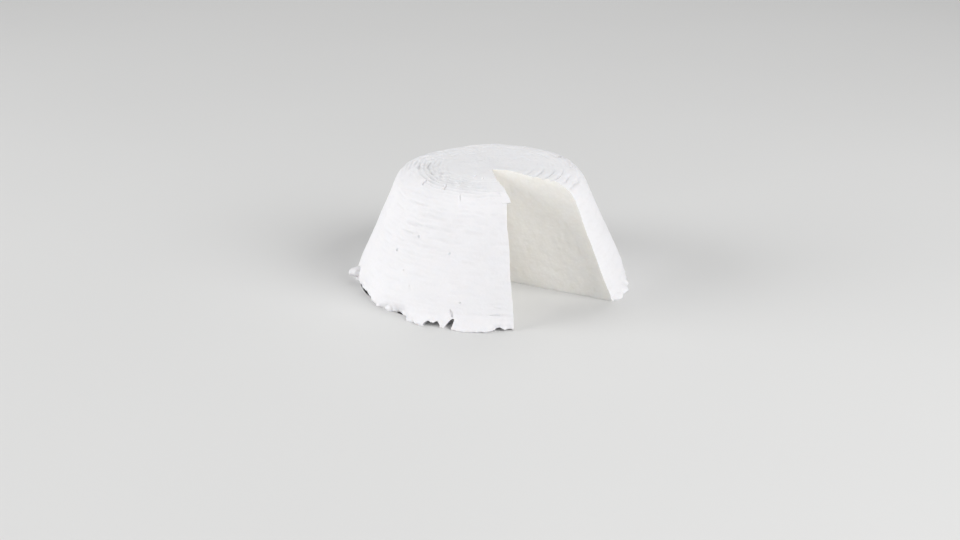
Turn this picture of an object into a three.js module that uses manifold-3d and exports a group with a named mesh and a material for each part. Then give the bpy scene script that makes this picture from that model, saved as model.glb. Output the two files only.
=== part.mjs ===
// A moulded ricotta round with one wedge cut out of it, standing on its wide open end.
// Millimetres, +Z up. The origin is on the axis of the mould, in the plane of the underside.
import * as THREE from 'three';
import { ConvexGeometry } from 'three/addons/geometries/ConvexGeometry.js';
import { mergeVertices } from 'three/addons/utils/BufferGeometryUtils.js';
import Module from 'manifold-3d';

const wasm = await Module();
wasm.setup();

const radians = THREE.MathUtils.degToRad;

// The basket the curd was moulded in.
const baseRadius = 100;
const height = 82.5;
const taper = radians(24.1); // lean of the side from upright
const shoulderRadius = 23; // round between the side and the flat top
const staveCount = 20; // upright bars of the basket, each leaving a seam
const firstSeam = radians(-110);
const ringCount = 22; // hoops from the middle of the top down to the rim

// What the basket leaves in the skin.
const ringDepth = { top: 0.3, side: 0.35 };
const deepRings = [ // where the hoops bit deeper
  { angle: radians(-24), spread: radians(15), path: 46, reach: 16, depth: 1.2 },
  { angle: radians(-140), spread: radians(34), path: 42, reach: 12, depth: 1 },
  { angle: radians(-104), spread: radians(22), path: 49, reach: 7, depth: 1 },
  { angle: radians(168), spread: radians(24), path: 46, reach: 14, depth: 1.2 },
  { angle: radians(108), spread: radians(34), path: 48, reach: 12, depth: 0.6 },
  { angle: radians(40), spread: radians(24), path: 56, reach: 10, depth: 0.7 },
];
const seamDepth = 0.35;
const cellSwelling = 0.25; // how much one cell of the basket stands off the next
const plainCentre = 9; // no rings closer to the middle of the top than this

// Slow waves in which the curd filled the mould: size, waves per turn, waves on the way down.
const swells = [
  { size: 0.15, turns: 2, climb: 0.5, start: 0 },
  { size: 0.09, turns: 5, climb: -1.1, start: 1 },
  { size: 0.06, turns: 9, climb: 1.8, start: 2 },
];

// Places where the round stands out from the mould's true shape, or stays back.
const swellings = [
  { angle: radians(162), spread: radians(16), path: 66, reach: 12, out: 1.2 },
  { angle: radians(119), spread: radians(18), path: 57, reach: 12, out: -1.1 },
  { angle: radians(32), spread: radians(24), path: 62, reach: 14, out: 0.9 },
  { angle: radians(-176), spread: radians(22), path: 112, reach: 34, out: -1.2 },
  { angle: radians(-45), spread: radians(26), path: 17, reach: 12, out: 1 },
];

// The open end, where the curd crumbled as it was turned out.
const rim = {
  wear: 1.6, // height of the rounded lower edge
  wearRipples: [{ share: 0.25, turns: 5, start: 1 }, { share: 0.18, turns: 11, start: 0 }],
  wornSide: { angle: radians(-165), spread: radians(17), wear: 12 },
  undercut: 0.68, // how far the edge is rounded inwards, as a share of its height
  ragged: 0.7,
  raggedHeight: 8,
};

// Lobes of the lower edge, which swelled outwards or stayed back over the last few millimetres.
const lobeHeight = 6;
const lobes = [
  { angle: radians(-131), spread: radians(8), out: -5 },
  { angle: radians(-119), spread: radians(6), out: 4.6 },
  { angle: radians(-96.5), spread: radians(10), out: 4.2 },
  { angle: radians(-22), spread: radians(7), out: 2.6 },
  { angle: radians(2), spread: radians(8), out: -3 },
  { angle: radians(26), spread: radians(9), out: 3.4 },
  { angle: radians(55), spread: radians(7), out: -3.4 },
  { angle: radians(79), spread: radians(11), out: 3 },
  { angle: radians(107), spread: radians(6), out: -3 },
  { angle: radians(129), spread: radians(9), out: 3.6 },
  { angle: radians(158), spread: radians(7), out: 2 },
];

// Lumps of curd along the open end: half lengths outwards, round the rim and upwards.
const rimLump = { count: 19, size: [5, 7, 3.4], vary: 0.35, stray: 0.6, proud: 0.7, sunk: 0.85 };
const lumpRoughness = 0.18; // how far the corners of any lump stray, as a share of its size

// The missing wedge. Angles are the directions of the cuts, from the tip outwards.
const notch = {
  tip: [0.9, -7.1],
  leftCut: radians(-81.3),
  rightCut: radians(-27.5),
  length: 130,
  margin: 6, // past the underside and the top
  spacing: 10, // between the corners that follow its waves
  bulge: { reach: 44, spread: 15, proud: 1.8 }, // where the left cut swells into the notch
  steady: 20, // the knife's waves grow over this distance from the tip
};

// Waves the knife left in both cuts: size, and the lengths along and up the cut they run over.
const knifeWaves = [{ size: 0.5, along: 9, up: 13 }, { size: 0.3, along: -21, up: 6 }];

// Corners of a flap of skin torn by the knife on the left cut, where it crosses the shoulder:
// distance from the tip of the notch, height, and how far it hangs into the notch.
const flap = [
  [46, 82.5, -2], [45, 79.6, -2], [56, 77.3, -2], [53.5, 74.8, -2],
  [48, 81.9, 2.4], [51, 80.4, 3.5], [55.4, 77.3, 4.4], [53.6, 76.2, 3.6],
];

// Curd that squeezed out at the foot, and what is missing from the skin.
const foot = { angle: radians(-173.5), radius: 94.5, height: 6.2, size: [8, 5, 3.6] };
const gapDepth = 7;
const gaps = [ // half width, half height, and how far each leans
  { angle: radians(-114.9), z: 0, wide: 3.2, high: 3.9, lean: 0 },
  { angle: radians(-111.7), z: 0, wide: 2.9, high: 4.1, lean: 0 },
  { angle: radians(-106.1), z: 1.6, wide: 2.7, high: 6.4, lean: radians(-30) },
  { angle: radians(-87.2), z: 0, wide: 3.4, high: 3.2, lean: radians(-25) },
  { angle: radians(-83.5), z: 0, wide: 4.5, high: 1.1, lean: 0 },
  { angle: radians(62), z: 0, wide: 3, high: 3.6, lean: 0 },
  { angle: radians(66.5), z: 0, wide: 3, high: 3.2, lean: 0 },
  { angle: radians(148), z: 0, wide: 4.4, high: 4.2, lean: 0 },
];

// Narrow dents and cracks: place along the path, half width, half length, depth and slant.
const slits = [
  { angle: radians(-146.7), path: 55, wide: 1.8, long: 3.8, deep: 2.3, slant: radians(28) },
  { angle: radians(-127), path: 52.4, wide: 1.1, long: 4.8, deep: 1.5, slant: radians(26) },
  { angle: radians(-110.9), path: 59.3, wide: 0.9, long: 6, deep: 1.3, slant: radians(21) },
  { angle: radians(-105.8), path: 138.2, wide: 0.9, long: 3.3, deep: 1.6, slant: radians(34) },
  { angle: radians(-88.4), path: 140.1, wide: 0.9, long: 4.4, deep: 0.9, slant: radians(88) },
  { angle: radians(-171), path: 55, wide: 0.8, long: 3, deep: 0.7, slant: radians(18) },
  { angle: radians(152), path: 53, wide: 0.9, long: 4, deep: 1.1, slant: radians(22) },
  { angle: radians(133), path: 57, wide: 0.7, long: 3.4, deep: 0.8, slant: radians(15) },
  { angle: radians(97), path: 55, wide: 0.9, long: 4.2, deep: 1.2, slant: radians(25) },
  { angle: radians(61), path: 52, wide: 0.8, long: 3.6, deep: 1, slant: radians(20) },
  { angle: radians(24), path: 56, wide: 0.9, long: 4, deep: 1.1, slant: radians(24) },
  { angle: radians(6), path: 60, wide: 0.7, long: 3, deep: 0.8, slant: radians(8) },
];

const pitDepth = 1.3; // as a share of the size
const pits = [
  { angle: radians(-129.8), height: 52, size: 1.4 },
  { angle: radians(-141.4), height: 39.2, size: 1.4 },
  { angle: radians(-110.6), height: 45.6, size: 1.3 },
  { angle: radians(-103), height: 16.2, size: 1 },
  { angle: radians(38), height: 47, size: 1.5 },
  { angle: radians(121), height: 30, size: 1.3 },
];

const columnsPerStave = 4;
const columns = staveCount * columnsPerStave;
const undersideRings = [0, 55, 86];
const groundSize = [300, 300, 20]; // block that trims everything below the underside

// Path up the mould wall: along the top from its middle, round the shoulder and down the side.
const shoulderHeight = height - shoulderRadius;
const flatRadius = baseRadius - shoulderHeight * Math.tan(taper) - shoulderRadius / Math.cos(taper);
const shoulderLength = shoulderRadius * (Math.PI / 2 - taper);
const sideTop = shoulderHeight + shoulderRadius * Math.sin(taper);
const sideLength = sideTop / Math.cos(taper);
const pathLength = flatRadius + shoulderLength + sideLength;
const ringPitch = pathLength / ringCount;

/** Repeatable random numbers from 0 to 1. */
function makeRandom(seed) {
  let state = seed;
  return () => {
    state = (state + 0x6d2b79f5) | 0;
    let mixed = Math.imul(state ^ (state >>> 15), 1 | state);
    mixed = (mixed + Math.imul(mixed ^ (mixed >>> 7), 61 | mixed)) ^ mixed;
    return ((mixed ^ (mixed >>> 14)) >>> 0) / 4294967296;
  };
}

/** Point and outward normal of the mould wall at a distance along the path. */
function wallAt(path) {
  if (path <= flatRadius) {
    return { r: path, z: height, nr: 0, nz: 1 };
  }
  if (path <= flatRadius + shoulderLength) {
    const angle = Math.PI / 2 - (path - flatRadius) / shoulderRadius;
    const nr = Math.cos(angle);
    const nz = Math.sin(angle);
    return { r: flatRadius + shoulderRadius * nr, z: shoulderHeight + shoulderRadius * nz, nr, nz };
  }
  const z = sideTop - (path - flatRadius - shoulderLength) * Math.cos(taper);
  return { r: baseRadius - z * Math.tan(taper), z, nr: Math.cos(taper), nz: Math.sin(taper) };
}

/** Shortest turn from one angle to another, between -PI and PI. */
function turnBetween(from, to) {
  return THREE.MathUtils.euclideanModulo(to - from + Math.PI, 2 * Math.PI) - Math.PI;
}

/** Height of the rounded lower edge at an angle round the rim. */
function wearAt(angle) {
  const turn = turnBetween(rim.wornSide.angle, angle) / rim.wornSide.spread;
  const ripple = rim.wearRipples.reduce((sum, { share, turns, start }) => (
    sum + share * Math.sin(turns * angle + start)
  ), 1);
  return rim.wear * ripple + rim.wornSide.wear * Math.exp(-turn * turn);
}

/** How far the lower edge stands out from the side, or is worn back, at an angle and height. */
function edgeAt(angle, z) {
  const wear = wearAt(angle);
  const worn = THREE.MathUtils.clamp((wear - z) / wear, 0, 1);
  const swell = lobes.reduce((sum, lobe) => {
    const turn = turnBetween(lobe.angle, angle) / lobe.spread;
    return sum + lobe.out * Math.exp(-turn * turn);
  }, 0);
  const low = z / lobeHeight;
  return swell * Math.exp(-low * low) - rim.undercut * wear * (1 - Math.sqrt(1 - worn * worn));
}

/** How near a place on the skin is to the middle of a patch, from 0 to 1. */
function nearness(patch, angle, path) {
  const turn = turnBetween(patch.angle, angle) / patch.spread;
  const down = (path - patch.path) / patch.reach;
  return Math.exp(-turn * turn - down * down);
}

/** Slow unevenness of the whole skin. */
function swellAt(angle, path) {
  const down = 2 * Math.PI * path / pathLength;
  return swells.reduce((sum, { size, turns, climb, start }) => (
    sum + size * Math.sin(turns * angle + climb * down + start)
  ), 0);
}

/** How far a patch of the round stands out here; the middle of the top is one point and stays. */
function swellingAt(angle, path) {
  if (path < plainCentre) {
    return 0;
  }
  return swellings.reduce((sum, patch) => sum + patch.out * nearness(patch, angle, path), 0);
}

/** Depth of a hoop's groove at a place on the skin. */
function ringDepthAt(angle, path) {
  const plain = path < flatRadius ? ringDepth.top : ringDepth.side;
  return deepRings.reduce((sum, patch) => sum + patch.depth * nearness(patch, angle, path), plain);
}

/** Rows of the lathe from the middle of the underside to the middle of the top. */
function latheRows() {
  const rows = undersideRings.map((r) => ({ r, z: 0, nr: 0, nz: -1, under: true }));
  for (let half = 2 * ringCount; half > 0; half--) {
    const path = half * ringPitch / 2;
    if (path > plainCentre) {
      rows.push({ ...wallAt(path), path, groove: half % 2 === 1 });
    }
  }
  rows.push({ ...wallAt(0), path: 0, groove: false });
  return rows;
}

/** How far the skin stands off the mould wall at one row and column. */
function reliefAt(row, column, angle, cellSwell) {
  const fade = Math.min(1, row.path / flatRadius);
  let relief = fade * (swellAt(angle, row.path) + cellSwell) + swellingAt(angle, row.path);
  if (row.groove) {
    relief -= ringDepthAt(angle, row.path);
  } else if (column % columnsPerStave === 0) {
    relief -= seamDepth * fade;
  }
  return relief;
}

/** The whole round as it left the basket: rings, seams, swellings and a ragged lower edge. */
function mouldedRound() {
  const rows = latheRows();
  const outline = rows.map(({ r, z }) => new THREE.Vector2(r, z));
  const lathe = new THREE.LatheGeometry(outline, columns);
  const random = makeRandom(11);
  const either = () => 2 * random() - 1;
  const cellSwells = rows.map(() => Array.from({ length: columns }, () => cellSwelling * either()));
  const raggedness = rows.map(() => Array.from({ length: columns }, () => rim.ragged * either()));
  const position = lathe.attributes.position;
  for (let step = 0; step <= columns; step++) {
    const column = step % columns;
    const angle = firstSeam + (column / columns) * 2 * Math.PI;
    rows.forEach((row, rowIndex) => {
      let { r, z } = row;
      if (!row.under) {
        const relief = reliefAt(row, column, angle, cellSwells[rowIndex][column]);
        const loose = Math.max(0, 1 - row.z / rim.raggedHeight);
        r += relief * row.nr + edgeAt(angle, row.z);
        r += loose * raggedness[rowIndex][column];
        z += row.z > 0 ? relief * row.nz : 0;
      }
      const index = step * rows.length + rowIndex;
      position.setXYZ(index, r * Math.cos(angle), r * Math.sin(angle), z);
    });
  }
  return lathe;
}

/** Geometry with shared vertices merged and no empty triangles, ready to become a solid. */
function closed(geometry) {
  geometry.deleteAttribute('normal');
  geometry.deleteAttribute('uv');
  const merged = mergeVertices(geometry);
  const corners = merged.index.array;
  const kept = [];
  for (let i = 0; i < corners.length; i += 3) {
    const [a, b, c] = corners.subarray(i, i + 3);
    if (a !== b && b !== c && c !== a) {
      kept.push(a, b, c);
    }
  }
  merged.setIndex(kept);
  return merged;
}

function toSolid(geometry) {
  const shape = geometry.index && !geometry.attributes.normal ? geometry : closed(geometry);
  const vertProperties = new Float32Array(shape.attributes.position.array);
  const triVerts = new Uint32Array(shape.index.array);
  return new wasm.Manifold(new wasm.Mesh({ numProp: 3, vertProperties, triVerts }));
}

function toGeometry(solid) {
  const { vertProperties, triVerts } = solid.getMesh();
  const geometry = new THREE.BufferGeometry();
  geometry.setAttribute('position', new THREE.BufferAttribute(vertProperties, 3));
  geometry.setIndex(new THREE.BufferAttribute(triVerts, 1));
  geometry.computeVertexNormals();
  return geometry;
}

/** An uneven lump of curd: sizes are its half lengths outwards, round the rim and upwards. */
function curdLump(size, random, detail = 1) {
  const lump = closed(new THREE.IcosahedronGeometry(1, detail));
  const position = lump.attributes.position;
  const point = new THREE.Vector3();
  for (let i = 0; i < position.count; i++) {
    point.fromBufferAttribute(position, i).multiplyScalar(1 + lumpRoughness * (2 * random() - 1));
    position.setXYZ(i, point.x, point.y, point.z);
  }
  lump.scale(...size);
  return lump;
}

/** Turns a lump to face outwards at an angle round the axis and sets it there. */
function placedAround(geometry, angle, radius, z) {
  geometry.rotateZ(angle);
  geometry.translate(radius * Math.cos(angle), radius * Math.sin(angle), z);
  return toSolid(geometry);
}

/** Radius of the side at a height. */
function sideRadius(z) {
  return baseRadius - z * Math.tan(taper);
}

/** Lumps of curd that stand a little proud along the lower edge. */
function rimLumps() {
  const random = makeRandom(23);
  const vary = () => 1 + rimLump.vary * (2 * random() - 1);
  return Array.from({ length: rimLump.count }, (_, i) => {
    const angle = firstSeam + ((i + rimLump.stray * random()) / rimLump.count) * 2 * Math.PI;
    const size = rimLump.size.map((half) => half * vary());
    const z = (wearAt(angle) + size[2]) / 2;
    const surface = sideRadius(z) + edgeAt(angle, z);
    const radius = surface + rimLump.proud * vary() - rimLump.sunk * size[0];
    return placedAround(curdLump(size, random), angle, radius, z);
  });
}

/** What broke out of the skin: gaps in the rim, dents, cracks and small pits. */
function breaks() {
  const random = makeRandom(37);
  const cuts = gaps.map(({ angle, z, wide, high, lean }) => {
    const gap = curdLump([gapDepth, wide, high], random).rotateX(lean);
    return placedAround(gap, angle, baseRadius, z);
  });
  for (const { angle, path, wide, long, deep, slant } of slits) {
    const wall = wallAt(path);
    const slit = curdLump([deep, wide, long], random).rotateX(slant);
    slit.rotateY(-Math.atan2(wall.nz, wall.nr));
    cuts.push(placedAround(slit, angle, wall.r, wall.z));
  }
  for (const { angle, height: z, size } of pits) {
    const pit = curdLump([pitDepth * size, size, size], random, 0);
    cuts.push(placedAround(pit, angle, sideRadius(z), z));
  }
  return cuts;
}

/** The wedge that was cut out, tall and long enough to pass the skin all round. */
function missingWedge() {
  const tip = new THREE.Vector2(...notch.tip);
  const direction = (angle) => new THREE.Vector2(Math.cos(angle), Math.sin(angle));
  const bulge = (distance) => {
    const share = (distance - notch.bulge.reach) / notch.bulge.spread;
    return notch.bulge.proud * Math.exp(-share * share);
  };
  const alongCut = (angle, distance, proud) => {
    const side = direction(angle + Math.PI / 2);
    return tip.clone().addScaledVector(direction(angle), distance).addScaledVector(side, proud);
  };
  const count = notch.length / notch.spacing;
  const distances = Array.from({ length: count }, (_, i) => (i + 1) * notch.spacing);
  const left = distances.map((distance) => alongCut(notch.leftCut, distance, bulge(distance)));
  const right = distances.map((distance) => alongCut(notch.rightCut, distance, 0)).reverse();
  const depth = height + 2 * notch.margin;
  const wedge = closed(new THREE.ExtrudeGeometry(new THREE.Shape([tip, ...left, ...right]), {
    depth,
    steps: Math.round(depth / notch.spacing),
    bevelEnabled: false,
  }));
  const position = wedge.attributes.position;
  const middle = direction((notch.leftCut + notch.rightCut) / 2);
  for (let i = 0; i < position.count; i++) {
    const x = position.getX(i);
    const y = position.getY(i);
    const z = position.getZ(i) - notch.margin;
    const distance = Math.hypot(x - tip.x, y - tip.y);
    const wave = knifeWaves.reduce((sum, { size, along, up }) => (
      sum + size * Math.sin(distance / along + z / up)
    ), 0);
    const across = Math.sign((x - tip.x) * middle.y - (y - tip.y) * middle.x);
    const drag = wave * across * Math.min(1, distance / notch.steady);
    position.setXYZ(i, x + drag * middle.y, y - drag * middle.x, z);
  }
  return toSolid(wedge);
}

/** The torn flap of skin that hangs into the notch from its left cut. */
function tornFlap() {
  const cos = Math.cos(notch.leftCut);
  const sin = Math.sin(notch.leftCut);
  const corners = flap.map(([along, z, proud]) => new THREE.Vector3(
    notch.tip[0] + along * cos - proud * sin,
    notch.tip[1] + along * sin + proud * cos,
    z,
  ));
  return toSolid(new ConvexGeometry(corners));
}

/** Everything below the surface the round stands on. */
function ground() {
  return toSolid(new THREE.BoxGeometry(...groundSize).translate(0, 0, -groundSize[2] / 2));
}

function ricottaRound() {
  const random = makeRandom(5);
  const [out, round, up] = foot.size;
  const blob = curdLump([out, round, up], random);
  let body = toSolid(mouldedRound());
  for (const lump of [...rimLumps(), placedAround(blob, foot.angle, foot.radius, foot.height)]) {
    body = body.add(lump);
  }
  for (const cut of [...breaks(), missingWedge()]) {
    body = body.subtract(cut);
  }
  return body.add(tornFlap()).subtract(ground());
}

const curd = new THREE.MeshStandardMaterial({ color: 0xf1f0ec, roughness: 0.62, metalness: 0 });
const mesh = new THREE.Mesh(toGeometry(ricottaRound()), curd);
mesh.name = 'ricotta_round';

const group = new THREE.Group();
group.add(mesh);

export default group;
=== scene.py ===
# A moulded ricotta round with one wedge cut out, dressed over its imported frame.
# Metres and radians. The basket's axis is Z, and the round rests on the floor at height 0.
import math
import random

import bpy
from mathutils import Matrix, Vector, noise


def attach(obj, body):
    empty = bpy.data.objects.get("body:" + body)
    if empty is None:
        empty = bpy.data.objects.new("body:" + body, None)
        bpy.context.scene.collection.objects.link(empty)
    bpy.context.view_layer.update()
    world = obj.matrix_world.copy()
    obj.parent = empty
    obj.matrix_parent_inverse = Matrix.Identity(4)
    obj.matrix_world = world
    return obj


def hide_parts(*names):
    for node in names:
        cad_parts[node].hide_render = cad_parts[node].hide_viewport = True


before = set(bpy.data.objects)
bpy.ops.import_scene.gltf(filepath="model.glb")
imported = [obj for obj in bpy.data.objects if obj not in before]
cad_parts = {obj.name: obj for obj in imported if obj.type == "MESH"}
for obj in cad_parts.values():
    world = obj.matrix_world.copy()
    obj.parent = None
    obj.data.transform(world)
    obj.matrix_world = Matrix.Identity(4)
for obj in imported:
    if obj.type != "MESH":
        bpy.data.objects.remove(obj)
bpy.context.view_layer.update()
millimetre = 0.001
underside = 0.0001  # anything lower than this lies on the floor
nearby = 0.00001  # a point this close to a line or a level lies on it
samePlace = 0.000002  # points closer than this are merged
creaseAngle = math.radians(42)  # edges sharper than this stay crisp
fullTurn = 2 * math.pi

basket = {  # the mould, and how finely its skin is modelled
    "baseRadius": 0.100,
    "height": 0.0825,
    "taper": math.radians(24.1),
    "shoulderRadius": 0.023,
    "staves": 20,
    "firstSeam": math.radians(-110),
    "hoops": 22,
    "columns": 464,
    "centreRows": 4,
    "rows": ((0.012, 16), (0.064, 56), (0.065, 106)),  # lengths of path from the foot up, and rows in each
    "undersideRadii": (0.03, 0.06, 0.08, 0.09, 0.095),
    "topShade": (0.046, 0.056),  # path along which the painted shade on the flat top fades out into the shoulder
}

marks = {  # what the basket pressed into the skin
    "hoopDepth": (0.22, 0.26, 0.36, 0.28),  # mm: middle of the top, shoulder, upper side, foot
    "deepHoops": (  # where they bit deeper: turn, spread, path, reach, depth in mm, share of fine hoops, gaps
        (-25, 13, 42, 14, 2.20, 0.0, -0.3),  # top and shoulder beside the right cut
        (-18, 9, 63.5, 4, 1.70, 0.0, -0.3),
        (-136, 17, 43, 9, 2.20, 0.9, 0.05),  # left and front of the top
        (-106, 24, 40, 11, 2.70, 0.9, 0.0),
        (-106, 22, 53, 5, 1.10, 0.9, 0.2),
        (174, 10, 49, 12, 1.75, 0.95, 0.0),  # left shoulder
        (-160, 14, 43, 11, 0.85, 0.9, 0.4),
        (150, 15, 46, 12, 0.90, 0.6, 0.6),  # shoulder at the back and the right
        (108, 34, 48, 12, 0.45, 0.6, 0.7),
        (40, 24, 56, 10, 0.45, 0.2, 0.5),
        (-132, 22, 88, 27, 0.65, 0.6, 0.1),  # side
        (-88, 5, 138, 10, 0.35, 0.5, 0.3),
        (20, 30, 110, 24, 0.30, 0.5, 0.4),
        (120, 40, 100, 30, 0.30, 0.5, 0.4),
    ),
    "fineHoopShare": 0.65,
    "hoopSharpness": 4.0,
    "shoulderShare": 0.5,  # how far round the shoulder its hoops turn into those of the side
    "hoopDrift": (0.22, 0.013),  # how far a hoop wanders, in pitches, and over what length
    "driftSeed": 7,
    "hoopReach": 0.06,  # how far out the pattern that breaks the hoops into dashes is read
    "hoopSeed": 0.031,
    "breakLength": 0.007,
    "broken": (-0.25, 0.30),
    "deepBroken": (-0.75, -0.15),
    "fullHollow": 1.2,  # mm of groove at which the painted shade in a groove is full
    "plainCentre": 0.009,
    "plainSeam": (0.25, 0.03, 0.13),  # what is left of a hoop at a seam, and where in a stave it fades
    "seamStart": (0.6, 1.2),  # shares of the flat top's radius between which the seams come in
    "seamStrengths": (0.4, 0.9),  # of all but the first, which is the clearest
    "seamDepth": 0.28,
    "seamWidth": 0.0022,
    "seamRidge": 0.36,
    "seamRidgeWidth": 0.0008,
    "flatStaves": 0.30,
    "seamSeed": 4,
}

swellings = (  # turn, spread, path, reach in mm, and how far out in mm: the round is not quite true
    (162, 16, 66, 12, 1.2),
    (119, 18, 57, 12, -1.1),
    (32, 24, 62, 14, 0.9),
    (-176, 22, 124, 42, -1.3),
    (-45, 26, 17, 12, 1.0),
    (-151, 7, 144, 8, -1.8),
)

curd = {  # unevenness of the curd itself: height in mm and width
    "swells": (0.40, 0.045),
    "hollows": (0.22, 0.014),
    "lumps": (0.16, 0.0048),
    "grains": (0.10, 0.0019),
}

rim = {  # the open end, where the curd crumbled
    "wear": 0.0016,
    "wearRipples": ((0.25, 5, 1.0), (0.18, 11, 0.0)),
    "wornTurn": math.radians(-165),
    "wornSpread": math.radians(15.5),
    "wornWear": 0.012,
    "undercut": 0.68,
    "raggedHeight": 0.010,
    "ragged": ((1.5, 0.0070), (1.3, 0.0038), (0.7, 0.0019)),  # height in mm, and width
    "lobeHeight": 0.006,
    "lobes": (  # turn, spread and how far each swelled out, in degrees, degrees and mm
        (-131, 8, -5.0), (-119, 6, 4.6), (-96.5, 10, 4.2), (-22, 7, 2.6), (2, 8, -3.0), (26, 9, 3.4),
        (55, 7, -3.4), (79, 11, 3.0), (107, 6, -3.0), (129, 9, 3.6), (150, 7, 2.0), (171, 9, -2.0),
    ),
}

notch = {  # the missing wedge
    "tip": Vector((0.0009, -0.0071, 0)),
    "leftCut": math.radians(-81.3),
    "rightCut": math.radians(-27.5),
    "length": 0.108,
    "edge": 0.0001,  # the outer edges of the missing wedge stay straight over this width
    "spacing": 0.0013,
    "margin": 0.004,
    "bulge": (0.044, 0.015, 0.0018),  # reach, spread and how far the left cut swells
    "steady": 0.020,
    "waves": ((0.0005, 0.009, 0.013), (0.0003, -0.021, 0.006)),
    "crumble": (0.42, 0.0052, 11),  # torn curd: height in mm, width and seed
    "grain": (0.22, 0.0021, 12),
    "voidSize": 0.0036,
    "voidWall": (0.08, 0.34),  # from the floor of a small hole to its rim, in shares of that size
    "voidDepth": 1.0,
    "voidPatches": (0.011, 13),  # where there are holes at all: width and seed
    "voidPatchEdge": (0.05, 0.30),
    "keenTip": 0.006,
}

breaks = {  # lumps fused to the foot, and what broke out of the skin
    "seed": 23,
    "rimLumps": 19,
    "rimLumpStray": 0.6,  # how far one may stray towards the next
    "rimLumpSize": (0.005, 0.007, 0.0034),
    "rimLumpSizes": (0.65, 1.35),
    "rimLumpSunk": 0.85,
    "rimLumpProud": 0.0004,
    "rimLumpProuds": (0.4, 1.3),
    "smallFineness": 3,
    "lumpShape": (0.004, 0.5),  # size of the clouds that roughen a lump, and how far they move it
    "lumpGrain": (0.0015, 0.2),
    "foot": {
        "turn": math.radians(-173.5), "radius": 0.0945, "height": 0.0062,
        "size": (0.008, 0.005, 0.0036),
    },
    "gapDepth": 0.009,
    "gapInsideShade": 2.0,  # painted shade inside a gap, and inside a slit or a pit
    "dentInsideShade": 0.15,
    "gaps": (  # turn, height, half width and half height in mm, and how far each leans, in degrees
        (-114.9, 0, 3.2, 3.9, 0),
        (-113.3, 0, 3.0, 3.2, 0),
        (-111.7, 0, 2.9, 4.1, 0),
        (-106.7, 1.0, 2.1, 6.4, -30),
        (-86.3, 0, 4.0, 2.4, -20),
        (-83.5, 0, 4.5, 1.2, 0),
        (62, 0, 3.0, 3.6, 0),
        (66.5, 0, 3.0, 3.2, 0),
        (148, 0, 4.4, 4.2, 0),
    ),
    "slits": (  # turn, path, half width, half length and depth in mm, and slant in degrees
        (-147.0, 54.6, 1.3, 3.4, 4.4, 28),  # across the front of the shoulder
        (-127.0, 52.2, 1.1, 4.8, 2.2, 26),
        (-110.9, 59.3, 1.0, 6.0, 1.05, 21),
        (-116.2, 24.1, 1.0, 3.8, 0.9, 8),  # on the top
        (-101.6, 27.7, 1.0, 2.2, 0.9, 0),
        (-106.1, 140.2, 1.1, 3.5, 0.85, 24),  # the crack above the leaning gap
        (-88.4, 140.1, 0.9, 4.4, 0.75, 88),  # level cracks near the notch
        (-87.6, 135.1, 0.5, 3.4, 0.5, 84),
        (-171.0, 55.0, 0.8, 3.0, 0.7, 18),  # across the rest of the shoulder
        (152.0, 53.0, 1.0, 4.0, 0.85, 22),
        (133.0, 57.0, 0.8, 3.4, 0.7, 15),
        (97.0, 55.0, 1.0, 4.2, 0.9, 25),
        (61.0, 52.0, 0.9, 3.6, 0.8, 20),
        (24.0, 56.0, 1.0, 4.0, 0.85, 24),
        (6.0, 60.0, 0.8, 3.0, 0.7, 8),
    ),
    "pitDepth": 0.75,  # as a share of a pit's size
    "pits": (  # turn, height and size in mm
        (-129.8, 52.0, 1.4),
        (-141.4, 39.2, 1.3),
        (-110.6, 45.6, 1.3),
        (-103.0, 16.2, 1.0),
        (-147.7, 52.3, 0.55),
        (-133.0, 29.0, 0.55),
        (-127.8, 20.6, 0.6),
        (38, 47, 1.5),
        (121, 30, 1.3),
    ),
    "groundAcross": 0.3,  # the block below the floor
    "groundDepth": 0.05,
}

flap = {  # corners of the torn flake: along the left cut, height, and how far into the notch, in mm
    "corners": (
        (46, 82.5, -2), (45, 79.6, -2), (56, 77.3, -2), (53.5, 74.8, -2),
        (48, 81.9, 2.4), (51, 80.4, 3.5), (55.4, 77.3, 4.4), (53.6, 76.2, 3.6),
    ),
    "fineness": 0.0004,
    "roughness": 0.0011,
}

camera = {
    "place": (-0.007417, -1.043625, 0.433496),
    "pitch": math.radians(67.58),
    "lens": 58.15,
    "sensor": 36,
    "nearest": 0.01,
}

shoulderHeight = basket["height"] - basket["shoulderRadius"]
flatRadius = (
    basket["baseRadius"]
    - shoulderHeight * math.tan(basket["taper"])
    - basket["shoulderRadius"] / math.cos(basket["taper"])
)
shoulderLength = basket["shoulderRadius"] * (math.pi / 2 - basket["taper"])
sideTop = shoulderHeight + basket["shoulderRadius"] * math.sin(basket["taper"])
pathLength = flatRadius + shoulderLength + sideTop / math.cos(basket["taper"])
hoopPitch = pathLength / basket["hoops"]
staveTurn = fullTurn / basket["staves"]


# Picking and applying

def pickOnly(piece):
    if bpy.context.object and bpy.context.object.mode == 'EDIT':
        bpy.ops.object.mode_set(mode='OBJECT')
    bpy.ops.object.select_all(action='DESELECT')
    if piece:
        piece.select_set(True)
    bpy.context.view_layer.objects.active = piece


def startMesh(name):
    # a plane gathered into one point, from which a shape is extruded
    pickOnly(None)
    bpy.ops.mesh.primitive_plane_add(size=0.01)
    piece = bpy.context.object
    piece.name = piece.data.name = name
    bpy.ops.object.mode_set(mode='EDIT')
    bpy.ops.mesh.merge(type='CENTER')
    return piece


def applyModifier(piece, kind, **settings):
    modifier = piece.modifiers.new(kind, kind)
    for setting, value in settings.items():
        setattr(modifier, setting, value)
    pickOnly(piece)
    bpy.ops.object.modifier_apply(modifier=modifier.name)


def settle(piece):
    # the piece keeps its place in its mesh and its object goes back to the origin
    pickOnly(piece)
    bpy.ops.object.transform_apply(location=True, rotation=True, scale=True)


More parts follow.
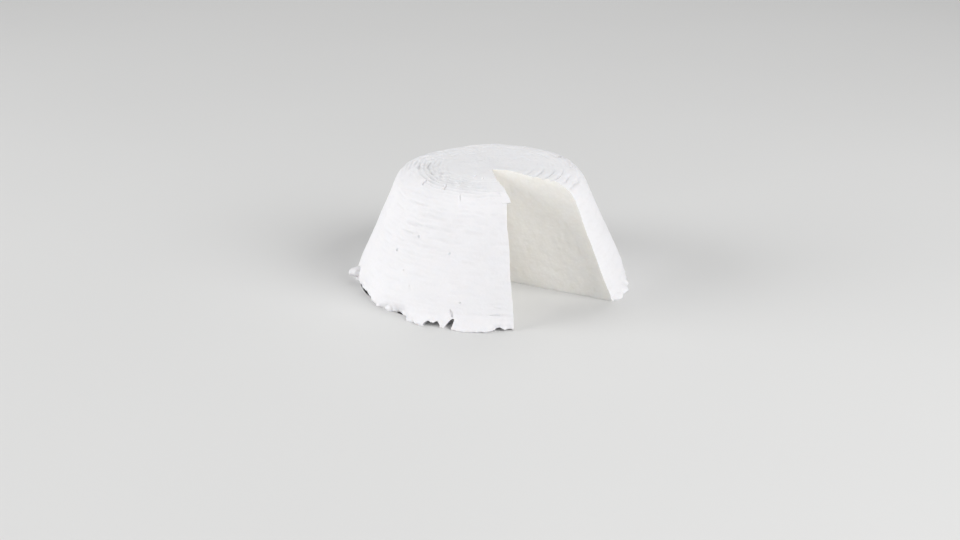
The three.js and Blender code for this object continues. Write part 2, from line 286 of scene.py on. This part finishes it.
def selectWhere(piece, chosen):
    # in edit mode, selects the points whose place passes the test
    bpy.ops.mesh.select_all(action='DESELECT')
    bpy.ops.object.mode_set(mode='OBJECT')
    for vertex in piece.data.vertices:
        vertex.select = chosen(vertex.co)
    bpy.ops.object.mode_set(mode='EDIT')


# Measuring the mould

def mouldWall(path):
    # radius and height of the wall, counted along it from the middle of the top
    if path <= flatRadius:
        return path, basket["height"]
    if path <= flatRadius + shoulderLength:
        turn = (path - flatRadius) / basket["shoulderRadius"]
        radius = flatRadius + basket["shoulderRadius"] * math.sin(turn)
        return radius, shoulderHeight + basket["shoulderRadius"] * math.cos(turn)
    height = sideTop - (path - flatRadius - shoulderLength) * math.cos(basket["taper"])
    return basket["baseRadius"] - height * math.tan(basket["taper"]), max(height, 0)


def pathAt(radius, height):
    if height <= sideTop:
        return flatRadius + shoulderLength + (sideTop - height) / math.cos(basket["taper"])
    if radius <= flatRadius:
        return radius
    turn = math.atan2(radius - flatRadius, height - shoulderHeight)
    return flatRadius + turn * basket["shoulderRadius"]


def turnBetween(start, end):
    return (end - start + math.pi) % fullTurn - math.pi


def bell(distance, width):
    return math.exp(-(distance / width) ** 2)


def between(value, low, high):
    # 0 below low, 1 above high and smooth in between
    share = min(max((value - low) / (high - low), 0), 1)
    return share * share * (3 - 2 * share)


def nearness(at, spread, middle, reach, turn, path):
    # 1 in the middle of a patch, which is given in degrees and mm, and fading round it
    across = bell(turnBetween(math.radians(at), turn), math.radians(spread))
    return across * bell(path - middle * millimetre, reach * millimetre)


def rough(place, width, seed):
    return noise.noise(place / width + Vector((seed, -seed, 2 * seed)))


# The skin

def turnRound():
    body = startMesh("ricottaSkin")
    profile = [(radius, 0) for radius in basket["undersideRadii"]]
    centre = marks["plainCentre"]
    wanted = sum(length for length, _ in basket["rows"])
    path = pathLength
    for length, rows in basket["rows"]:
        for _ in range(rows):
            profile.append(mouldWall(path))
            path -= length / rows * (pathLength - centre) / wanted
    for row in range(basket["centreRows"] + 1):
        profile.append(mouldWall(centre * (1 - row / basket["centreRows"])))
    here = Vector((0, 0, 0))
    for radius, height in profile:
        step = Vector((radius, 0, height)) - here
        bpy.ops.mesh.extrude_vertices_move(TRANSFORM_OT_translate={"value": step})
        here += step
    bpy.ops.mesh.select_all(action='SELECT')
    bpy.ops.mesh.spin(steps=basket["columns"], angle=fullTurn, center=(0, 0, 0), axis=(0, 0, 1))
    bpy.ops.mesh.select_all(action='SELECT')
    bpy.ops.mesh.remove_doubles(threshold=samePlace)
    bpy.ops.mesh.normals_make_consistent(inside=False)
    bpy.ops.object.mode_set(mode='OBJECT')
    return body


def hoopDepthAt(path):
    middle, shoulder, upperSide, foot = marks["hoopDepth"]
    sideStart = flatRadius + shoulderLength
    if path < sideStart:
        rise = between(path, marks["plainCentre"], flatRadius)
        fall = between(path, flatRadius + marks["shoulderShare"] * shoulderLength, sideStart)
        return middle + (shoulder - middle) * rise + (upperSide - shoulder) * fall
    return upperSide + (foot - upperSide) * between(path, sideStart, pathLength)


def hoopMarks(path, turn, place):
    # how deep the grooves are here: one at every pitch and a finer one half way, broken into dashes
    if path < marks["plainCentre"]:
        return 0
    drift, driftLength = marks["hoopDrift"]
    count = path / hoopPitch + drift * rough(place, driftLength, marks["driftSeed"])
    deepMain = deepFine = gappy = 0
    for at, spread, middle, reach, bite, fine, gaps in marks["deepHoops"]:
        near = nearness(at, spread, middle, reach, turn, path)
        deepMain += bite * near
        deepFine += bite * near * fine
        gappy += gaps * near
    along = Vector((place.x, place.y, 0)).normalized() * marks["hoopReach"]
    inStave = (turnBetween(basket["firstSeam"], turn) / staveTurn) % 1
    least, fadeStart, fadeEnd = marks["plainSeam"]
    awayFromSeam = between(min(inStave, 1 - inStave), fadeStart, fadeEnd)
    plain = hoopDepthAt(path) * (least + (1 - least) * awayFromSeam)
    depth = 0
    for strength, deep, offset in ((1, deepMain, 0.5), (marks["fineHoopShare"], deepFine, 0)):
        groove = (0.5 + 0.5 * math.cos(fullTurn * (count - offset))) ** marks["hoopSharpness"]
        hoop = math.floor(count - offset + 0.5)
        dash = rough(along + Vector((0, 0, marks["hoopSeed"] * hoop)), marks["breakLength"], offset)
        shallow = strength * plain * between(dash, *marks["broken"])
        depth += groove * (shallow + deep * between(dash - gappy, *marks["deepBroken"]))
    return depth


def seamMarks(path, turn, radius, strengths):
    # each upright bar left a shallow trough with a fine ridge in it, and between them the round is flatter
    count = turnBetween(basket["firstSeam"], turn) / staveTurn
    seam = round(count)
    aside = (count - seam) * staveTurn * radius
    start, full = marks["seamStart"]
    strength = strengths[seam % basket["staves"]] * between(path, flatRadius * start, flatRadius * full)
    trough = marks["seamDepth"] * bell(aside, marks["seamWidth"])
    ridge = marks["seamRidge"] * bell(aside, marks["seamRidgeWidth"])
    bow = marks["flatStaves"] * (0.5 - (2 * (count - seam)) ** 2)
    return strength * (ridge - trough) + bow * between(path, flatRadius, pathLength)


def swelling(path, turn):
    return sum(
        out * nearness(at, spread, middle, reach, turn, path)
        for at, spread, middle, reach, out in swellings
    )


def edgeShape(turn, height):
    # how far the foot stands out from the side, or is worn back
    ripple = 1 + sum(share * math.sin(count * turn + start) for share, count, start in rim["wearRipples"])
    wornHere = bell(turnBetween(rim["wornTurn"], turn), rim["wornSpread"])
    wear = rim["wear"] * ripple + rim["wornWear"] * wornHere
    worn = min(max((wear - height) / wear, 0), 1)
    swell = sum(
        out * millimetre * bell(turnBetween(math.radians(at), turn), math.radians(spread))
        for at, spread, out in rim["lobes"]
    )
    undercut = rim["undercut"] * wear * (1 - math.sqrt(1 - worn * worn))
    return swell * bell(height, rim["lobeHeight"]) - undercut


def pressBasket(skin):
    # moves every point of the skin by the marks of the basket and the unevenness of the curd, and writes
    # where the top and the grooves get painted shade
    draw = random.Random(marks["seamSeed"])
    strengths = [1.0] + [draw.uniform(*marks["seamStrengths"]) for _ in range(basket["staves"] - 1)]
    hollowShade = skin.data.attributes.new("hollowShade", 'FLOAT', 'POINT')
    topShade = skin.data.attributes.new("topShade", 'FLOAT', 'POINT')
    points = [(vertex, vertex.normal.copy()) for vertex in skin.data.vertices]
    for vertex, normal in points:
        place = vertex.co.copy()
        radius = math.hypot(place.x, place.y)
        if place.z < underside and radius < basket["baseRadius"] - underside:
            hollowShade.data[vertex.index].value = topShade.data[vertex.index].value = 0
            continue
        turn = math.atan2(place.y, place.x)
        path = pathAt(radius, place.z)
        groove = hoopMarks(path, turn, place)
        # painted shade in the grooves, darker where they are deeper
        hollowShade.data[vertex.index].value = min(groove / marks["fullHollow"], 1)
        # painted shade on the flat top, fading out over the shoulder
        topShade.data[vertex.index].value = 1 - between(path, *basket["topShade"])
        relief = seamMarks(path, turn, radius, strengths) - groove + swelling(path, turn)
        for seed, (height, width) in enumerate(curd.values()):
            relief += height * rough(place, width, seed)
        outward = Vector((place.x, place.y, 0)).normalized()
        loose = 1 - between(place.z, 0, rim["raggedHeight"])
        ragged = sum(
            height * rough(place, width, seed)
            for seed, (height, width) in enumerate(rim["ragged"], start=len(curd))
        )
        vertex.co += outward * (edgeShape(turn, place.z) + loose * ragged * millimetre)
        if place.z > 0:
            vertex.co += normal * relief * millimetre
            vertex.co.z = max(vertex.co.z, 2 * underside)
    skin.data.update()


# The cuts

def alongCut(turn, distance, aside):
    ahead = Vector((math.cos(turn), math.sin(turn), 0))
    side = Vector((-ahead.y, ahead.x, 0))
    return notch["tip"] + ahead * distance + side * aside


def knifeWall(wedge, turn, bulge):
    # extrudes the upright line at the tip outwards in short steps
    here = notch["tip"]
    selectWhere(wedge, lambda place: (place.xy - notch["tip"].xy).length < nearby)
    bpy.ops.mesh.select_mode(type='VERT')
    steps = round(notch["length"] / notch["spacing"])
    reach, spread, proud = notch["bulge"]
    for step in range(1, steps + 1):
        distance = notch["length"] * step / steps
        there = alongCut(turn, distance, bulge * proud * bell(distance - reach, spread))
        bpy.ops.mesh.extrude_region_move(TRANSFORM_OT_translate={"value": there - here})
        here = there


def missingWedge():
    wedge = startMesh("missingWedge")
    bottom = -notch["margin"]
    top = basket["height"] + 2 * notch["margin"]
    rise = Vector(notch["tip"])
    rise.z = bottom
    bpy.ops.transform.translate(value=rise)
    levels = round((top - bottom) / notch["spacing"])
    for level in range(levels):
        climb = (0, 0, (top - bottom) / levels)
        bpy.ops.mesh.extrude_vertices_move(TRANSFORM_OT_translate={"value": climb})
    knifeWall(wedge, notch["leftCut"], 1)
    knifeWall(wedge, notch["rightCut"], 0)
    far = notch["length"] - notch["edge"]
    tip = notch["tip"].xy
    selectWhere(wedge, lambda place: (place.xy - tip).length > far)
    bpy.ops.mesh.bridge_edge_loops()
    for level in (bottom, top):
        selectWhere(wedge, lambda place: abs(place.z - level) < nearby)
        bpy.ops.mesh.edge_face_add()
    bpy.ops.mesh.select_all(action='SELECT')
    bpy.ops.mesh.normals_make_consistent(inside=False)
    bpy.ops.object.mode_set(mode='OBJECT')
    dragKnife(wedge, bottom, top)
    return wedge


def dragKnife(wedge, bottom, top):
    # knife waves, torn curd and small holes in both cuts
    middle = (notch["leftCut"] + notch["rightCut"]) / 2
    aside = Vector((math.sin(middle), -math.cos(middle), 0))
    edge = notch["edge"]
    for vertex in wedge.data.vertices:
        place = vertex.co.copy()
        fromTip = place - notch["tip"]
        distance = fromTip.xy.length
        if not bottom + edge < place.z < top - edge or distance > notch["length"] - edge:
            continue
        outward = aside if fromTip.dot(aside) > 0 else -aside
        wave = sum(
            size * math.sin(distance / length + place.z / climb)
            for size, length, climb in notch["waves"]
        )
        torn = sum(
            height * rough(place, width, seed)
            for height, width, seed in (notch["crumble"], notch["grain"])
        )
        nearest = noise.voronoi(place / notch["voidSize"])[0][0]
        hole = notch["voidDepth"] * (1 - between(nearest, *notch["voidWall"]))
        hole *= between(rough(place, *notch["voidPatches"]), *notch["voidPatchEdge"])
        push = wave * min(1, distance / notch["steady"])
        push += (torn + hole) * millimetre * min(1, distance / notch["keenTip"])
        vertex.co += outward * push
    wedge.data.update()


# Lumps, and what broke away

def coat(piece):
    # the same two materials on every part, so that what is added or cut away matches the round
    for material in (skinMaterial, cutMaterial):
        piece.data.materials.append(material)


def cloudTexture(name):
    size, strength = breaks[name]
    texture = bpy.data.textures.new(name, 'CLOUDS')
    texture.noise_scale = size
    return texture, strength


lumpTextures = [cloudTexture("lumpShape"), cloudTexture("lumpGrain")]


def roughen(piece, size):
    for texture, strength in lumpTextures:
        applyModifier(
            piece, 'DISPLACE', texture=texture, texture_coords='LOCAL',
            strength=strength * size, mid_level=0.5,
        )


def curdLump(name, sizes, turn, place, lean=0.0, rise=0.0, fineness=4):
    # an uneven lump: half lengths outwards, round the axis and upwards; rise tips it back with the wall
    pickOnly(None)
    radius, height = place
    bpy.ops.mesh.primitive_ico_sphere_add(
        subdivisions=fineness, radius=1, scale=sizes, rotation=(lean, -rise, turn),
        location=(radius * math.cos(turn), radius * math.sin(turn), height),
    )
    lump = bpy.context.object
    lump.name = lump.data.name = name
    coat(lump)
    settle(lump)
    roughen(lump, min(sizes))
    return lump


def withPaintedShade(piece, share):
    # the same piece, with the painted shade of its own surface written in
    hollowShade = piece.data.attributes.new("hollowShade", 'FLOAT', 'POINT')
    for place in hollowShade.data:
        place.value = share
    return piece


def fused(pieces):
    # one closed piece out of several that may overlap
    for piece in pieces[1:]:
        combine(pieces[0], piece, 'UNION')
    return pieces[0]


def rimLumps():
    draw = random.Random(breaks["seed"])
    lumps = []
    for count in range(breaks["rimLumps"]):
        stray = breaks["rimLumpStray"] * draw.random()
        turn = basket["firstSeam"] + (count + stray) / breaks["rimLumps"] * fullTurn
        sizes = [half * draw.uniform(*breaks["rimLumpSizes"]) for half in breaks["rimLumpSize"]]
        height = rim["wear"] / 2
        surface = basket["baseRadius"] - height * math.tan(basket["taper"]) + edgeShape(turn, height)
        proud = breaks["rimLumpProud"] * draw.uniform(*breaks["rimLumpProuds"])
        place = (surface + proud - breaks["rimLumpSunk"] * sizes[0], height)
        lumps.append(curdLump("rimLump", sizes, turn, place, fineness=breaks["smallFineness"]))
    foot = breaks["foot"]
    lumps.append(curdLump("squeezedFoot", foot["size"], foot["turn"], (foot["radius"], foot["height"])))
    return fused(lumps)


def wallRise(path):
    # how far the wall's outward direction points up from level
    rise = math.pi / 2 - (path - flatRadius) / basket["shoulderRadius"]
    return min(max(rise, basket["taper"]), math.pi / 2)


def brokenAway():
    # gaps, slits and pits to cut away; each carries painted shade for the walls it leaves
    cuts = []
    for turn, height, width, tall, lean in breaks["gaps"]:
        sizes = (breaks["gapDepth"], width * millimetre, tall * millimetre)
        place = (basket["baseRadius"], height * millimetre)
        gap = curdLump("gap", sizes, math.radians(turn), place, math.radians(lean))
        cuts.append(withPaintedShade(gap, breaks["gapInsideShade"]))
    for turn, path, width, length, depth, slant in breaks["slits"]:
        sizes = [half * millimetre for half in (depth, width, length)]
        path *= millimetre
        lean = math.radians(slant)
        slit = curdLump("slit", sizes, math.radians(turn), mouldWall(path), lean, wallRise(path))
        cuts.append(withPaintedShade(slit, breaks["dentInsideShade"]))
    for turn, height, size in breaks["pits"]:
        across = size * millimetre
        path = pathAt(basket["baseRadius"], height * millimetre)
        sizes = (breaks["pitDepth"] * across, across, across)
        pit = curdLump("pit", sizes, math.radians(turn), mouldWall(path), fineness=breaks["smallFineness"])
        cuts.append(withPaintedShade(pit, breaks["dentInsideShade"]))
    return fused(cuts)


def tornFlap():
    # a flake of skin that the knife dragged off the shoulder and into the notch
    corners = []
    for distance, height, aside in flap["corners"]:
        corner = alongCut(notch["leftCut"], distance * millimetre, aside * millimetre)
        corners.append(corner + Vector((0, 0, height * millimetre)))
    flake = startMesh("tornFlap")
    coat(flake)
    bpy.ops.transform.translate(value=corners[0])
    for corner, previous in zip(corners[1:], corners):
        bpy.ops.mesh.extrude_vertices_move(TRANSFORM_OT_translate={"value": corner - previous})
    bpy.ops.mesh.select_all(action='SELECT')
    bpy.ops.mesh.convex_hull()
    bpy.ops.mesh.normals_make_consistent(inside=False)
    bpy.ops.object.mode_set(mode='OBJECT')
    applyModifier(flake, 'REMESH', mode='VOXEL', voxel_size=flap["fineness"], use_smooth_shade=True)
    roughen(flake, flap["roughness"])
    return flake


def groundBlock():
    # takes off whatever reaches below the floor
    pickOnly(None)
    across = breaks["groundAcross"]
    depth = breaks["groundDepth"]
    bpy.ops.mesh.primitive_cube_add(size=1, location=(0, 0, -depth / 2), scale=(across, across, depth))
    block = bpy.context.object
    block.name = block.data.name = "ground"
    coat(block)
    settle(block)
    return block


def combine(body, other, operation):
    applyModifier(body, 'BOOLEAN', object=other, operation=operation, solver='MANIFOLD')
    bpy.data.objects.remove(other)


def dropScraps(piece):
    # keeps the largest joined part of the mesh
    name = piece.name
    pickOnly(piece)
    bpy.ops.mesh.separate(type='LOOSE')
    parts = sorted(bpy.context.selected_objects, key=lambda part: len(part.data.vertices))
    for scrap in parts[:-1]:
        bpy.data.objects.remove(scrap)
    whole = parts[-1]
    whole.name = whole.data.name = name
    return whole


# Materials

def linkOrSet(tree, socket, value):
    if isinstance(value, bpy.types.NodeSocket):
        tree.links.new(value, socket)
    else:
        socket.default_value = value


def addNode(tree, kind, sockets=None, **settings):
    made = tree.nodes.new(kind)
    for setting, value in settings.items():
        setattr(made, setting, value)
    for socket, value in (sockets or {}).items():
        linkOrSet(tree, made.inputs[socket], value)
    return made


def calculate(tree, operation, first, second):
    return addNode(tree, "ShaderNodeMath", {0: first, 1: second}, operation=operation).outputs[0]


def mapRange(tree, value, fromLow, fromHigh, toLow, toHigh):
    node = addNode(tree, "ShaderNodeMapRange", {
        "Value": value, "From Min": fromLow, "From Max": fromHigh, "To Min": toLow, "To Max": toHigh,
    }, interpolation_type='SMOOTHSTEP')
    return node.outputs["Result"]


def mixColors(tree, share, first, second):
    node = addNode(tree, "ShaderNodeMix", data_type='RGBA')
    linkOrSet(tree, node.inputs["Factor"], share)
    linkOrSet(tree, node.inputs[6], first)
    linkOrSet(tree, node.inputs[7], second)
    return node.outputs[2]


def newGroup(name, inputs, outputs):
    tree = bpy.data.node_groups.new(name, 'ShaderNodeTree')
    for socket, kind in inputs:
        tree.interface.new_socket(name=socket, in_out='INPUT', socket_type=kind)
    for socket, kind in outputs:
        tree.interface.new_socket(name=socket, in_out='OUTPUT', socket_type=kind)
    start = tree.nodes.new("NodeGroupInput")
    end = tree.nodes.new("NodeGroupOutput")
    return tree, start.outputs, end.inputs


grainPattern = {  # the grain that skin and cut share
    "granuleSmoothness": 0.8,
    "granuleEdge": 0.7,  # distance at which a granule has fallen off
    "gapEdge": 0.6,  # how much of a granule still counts as the gap beside it, which gets painted shade
    "fineScale": 2.3,  # times finer than the granules
    "fineDetail": 4.0,
    "fineRoughness": 0.6,
    "granuleShare": 0.55,  # of the height
    "fineShare": 0.45,
    "patchDetail": 3.0,
    "patchRoughness": 0.55,
    "patchEdge": (0.35, 0.68),  # from dry to moist
}


def curdGrainGroup():
    # soft granules, fine grain and slow patches of whey
    tree, given, result = newGroup(
        "curdGrain",
        (
            ("Place", 'NodeSocketVector'),
            ("Granule Scale", 'NodeSocketFloat'),
            ("Patch Scale", 'NodeSocketFloat'),
        ),
        (
            ("Height", 'NodeSocketFloat'),
            ("Granules", 'NodeSocketFloat'),
            ("Moisture", 'NodeSocketFloat'),
        ),
    )
    granules = addNode(tree, "ShaderNodeTexVoronoi", {
        "Vector": given["Place"], "Scale": given["Granule Scale"],
        "Smoothness": grainPattern["granuleSmoothness"],
    }, feature='SMOOTH_F1')
    fineScale = calculate(tree, 'MULTIPLY', given["Granule Scale"], grainPattern["fineScale"])
    fine = addNode(tree, "ShaderNodeTexNoise", {
        "Vector": given["Place"], "Scale": fineScale,
        "Detail": grainPattern["fineDetail"], "Roughness": grainPattern["fineRoughness"],
    })
    patches = addNode(tree, "ShaderNodeTexNoise", {
        "Vector": given["Place"], "Scale": given["Patch Scale"],
        "Detail": grainPattern["patchDetail"], "Roughness": grainPattern["patchRoughness"],
    })
    rounded = mapRange(tree, granules.outputs["Distance"], 0.0, grainPattern["granuleEdge"], 1.0, 0.0)
    tree.links.new(rounded, result["Granules"])
    coarse = calculate(tree, 'MULTIPLY', rounded, grainPattern["granuleShare"])
    grain = calculate(tree, 'MULTIPLY', fine.outputs["Fac"], grainPattern["fineShare"])
    tree.links.new(calculate(tree, 'ADD', coarse, grain), result["Height"])
    moisture = mapRange(tree, patches.outputs["Fac"], *grainPattern["patchEdge"], 0.0, 1.0)
    tree.links.new(moisture, result["Moisture"])
    return tree


def curdMaterial(name, look):
    material = bpy.data.materials.new(name)
    material.use_nodes = True
    tree = material.node_tree
    shader = tree.nodes["Principled BSDF"]
    place = addNode(tree, "ShaderNodeTexCoord").outputs["Object"]
    grain = addNode(tree, "ShaderNodeGroup", node_tree=curdGrain)
    linkOrSet(tree, grain.inputs["Place"], place)
    grain.inputs["Granule Scale"].default_value = look["granuleScale"]
    grain.inputs["Patch Scale"].default_value = look["patchScale"]
    moisture = grain.outputs["Moisture"]
    white = mixColors(tree, moisture, look["dry"], look["moist"])
    granules = grain.outputs["Granules"]
    # painted shade in the gaps between the granules
    gapShare = mapRange(tree, granules, 0.0, grainPattern["gapEdge"], look["gapShade"], 0.0)
    color = mixColors(tree, gapShare, white, look["gapShadeColour"])
    for attribute, share, tint in look["paintedShades"]:
        mark = addNode(tree, "ShaderNodeAttribute", attribute_name=attribute).outputs["Fac"]
        color = mixColors(tree, calculate(tree, 'MULTIPLY', mark, share), color, tint)
    tree.links.new(color, shader.inputs["Base Color"])
    roughness = mapRange(tree, moisture, 0.0, 1.0, look["dryRoughness"], look["moistRoughness"])
    tree.links.new(roughness, shader.inputs["Roughness"])
    bump = addNode(tree, "ShaderNodeBump", {
        "Strength": look["bumpStrength"], "Distance": look["bumpDistance"], "Height": grain.outputs["Height"],
    })
    tree.links.new(bump.outputs["Normal"], shader.inputs["Normal"])
    shader.inputs["Subsurface Weight"].default_value = look["glow"]
    shader.inputs["Subsurface Radius"].default_value = look["glowRadius"]
    shader.inputs["Subsurface Scale"].default_value = look["glowDepth"]
    shader.inputs["Specular IOR Level"].default_value = look["sheen"]
    shader.inputs["IOR"].default_value = look["ior"]
    return material


skinLook = {
    "dry": (0.846, 0.839, 0.858, 1),
    "moist": (0.830, 0.824, 0.842, 1),
    # colour of the painted shade between the granules
    "gapShadeColour": (0.70, 0.70, 0.71, 1),
    "gapShade": 0.06,
    "paintedShades": (  # painted shade that the values on the points add: their name, share and colour
        # painted shade on the flat top
        ("topShade", 0.8, (0.79, 0.79, 0.805, 1)),
        # painted shade in the grooves, gaps, slits and pits
        ("hollowShade", 0.55, (0.70, 0.70, 0.71, 1)),
    ),
    "granuleScale": 620.0,
    "patchScale": 42.0,
    "dryRoughness": 0.62,
    "moistRoughness": 0.46,
    "bumpStrength": 0.30,
    "bumpDistance": 0.0004,
    "glow": 0.30,
    "glowRadius": (1.0, 0.9, 0.8),
    "glowDepth": 0.002,
    "sheen": 0.40,
    "ior": 1.36,
}

cutLook = {
    "dry": (0.904, 0.892, 0.866, 1),
    "moist": (0.889, 0.873, 0.840, 1),
    # colour of the painted shade between the granules
    "gapShadeColour": (0.79, 0.765, 0.70, 1),
    "gapShade": 0.10,
    "paintedShades": (),
    "granuleScale": 480.0,
    "patchScale": 55.0,
    "dryRoughness": 0.55,
    "moistRoughness": 0.38,
    "bumpStrength": 0.40,
    "bumpDistance": 0.0005,
    "glow": 0.35,
    "glowRadius": (1.0, 0.9, 0.75),
    "glowDepth": 0.003,
    "sheen": 0.45,
    "ior": 1.36,
}

floor = {
    "size": 14.0,
    "low": (0.69, 0.69, 0.685, 1),
    "high": (0.72, 0.72, 0.715, 1),
    "driftScale": 3.0,
    "driftDetail": 2.0,
    "roughness": 0.75,
    "sheen": 0.2,
}


def floorMaterial():
    material = bpy.data.materials.new("paleFloor")
    material.use_nodes = True
    tree = material.node_tree
    shader = tree.nodes["Principled BSDF"]
    place = addNode(tree, "ShaderNodeTexCoord").outputs["Object"]
    drift = addNode(tree, "ShaderNodeTexNoise", {
        "Vector": place, "Scale": floor["driftScale"], "Detail": floor["driftDetail"],
    })
    tint = mixColors(tree, drift.outputs["Fac"], floor["low"], floor["high"])
    tree.links.new(tint, shader.inputs["Base Color"])
    shader.inputs["Roughness"].default_value = floor["roughness"]
    shader.inputs["Specular IOR Level"].default_value = floor["sheen"]
    return material


# The studio

lights = (  # name, turn and elevation in degrees, width, watts
    ("leftWindow", -174, 19, 1.3, 28.5),
    ("rightWindow", -32, 35, 1.3, 31.0),
    ("frontFill", -112, 32, 1.2, 6.0),
    ("backGlow", 90, 48, 1.2, 8.8),
)
lightDistance = 2.0
airGlow = 0.18


def buildStudio():
    pickOnly(None)
    bpy.ops.mesh.primitive_plane_add(size=floor["size"])
    table = bpy.context.object
    table.name = table.data.name = "paleFloor"
    table.data.materials.append(floorMaterial())
    for name, turn, elevation, width, watts in lights:
        up = math.radians(elevation)
        aside = math.radians(turn)
        away = Vector((math.cos(up) * math.cos(aside), math.cos(up) * math.sin(aside), math.sin(up)))
        aim = away.to_track_quat('Z', 'Y').to_euler()
        bpy.ops.object.light_add(type='AREA', location=away * lightDistance, rotation=aim)
        lamp = bpy.context.object
        lamp.name = lamp.data.name = name
        lamp.data.size = width
        lamp.data.energy = watts
    world = bpy.data.worlds.new("studioAir")
    world.use_nodes = True
    world.node_tree.nodes["Background"].inputs["Color"].default_value = (1.0, 1.0, 1.0, 1)
    world.node_tree.nodes["Background"].inputs["Strength"].default_value = airGlow
    bpy.context.scene.world = world


def placeCamera():
    bpy.ops.object.camera_add(location=camera["place"], rotation=(camera["pitch"], 0, 0))
    view = bpy.context.object
    view.name = view.data.name = "tableView"
    view.data.lens = camera["lens"]
    view.data.sensor_width = camera["sensor"]
    view.data.clip_start = camera["nearest"]
    bpy.context.scene.camera = view


skin = turnRound()
print("turned the round:", len(skin.data.vertices), "points")
pressBasket(skin)
print("pressed the basket's marks into the skin")

curdGrain = curdGrainGroup()
skinMaterial = curdMaterial("basketSkin", skinLook)
cutMaterial = curdMaterial("cutCurd", cutLook)
coat(skin)

combine(skin, rimLumps(), 'UNION')
print("added the lumps along the foot:", len(skin.data.vertices), "points")

wedge = missingWedge()
coat(wedge)
for face in wedge.data.polygons:
    face.material_index = 1
combine(skin, wedge, 'DIFFERENCE')
print("cut the wedge out:", len(skin.data.vertices), "points")

combine(skin, brokenAway(), 'DIFFERENCE')
combine(skin, tornFlap(), 'UNION')
combine(skin, groundBlock(), 'DIFFERENCE')
skin = dropScraps(skin)
pickOnly(skin)
bpy.ops.object.shade_smooth_by_angle(angle=creaseAngle)
print("finished the round:", len(skin.data.vertices), "points,", len(skin.data.polygons), "faces")

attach(skin, "root")
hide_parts("ricotta_round")

buildStudio()
placeCamera()
bpy.context.scene.view_settings.view_transform = 'Standard'
print("set up the floor, the lights and the camera")
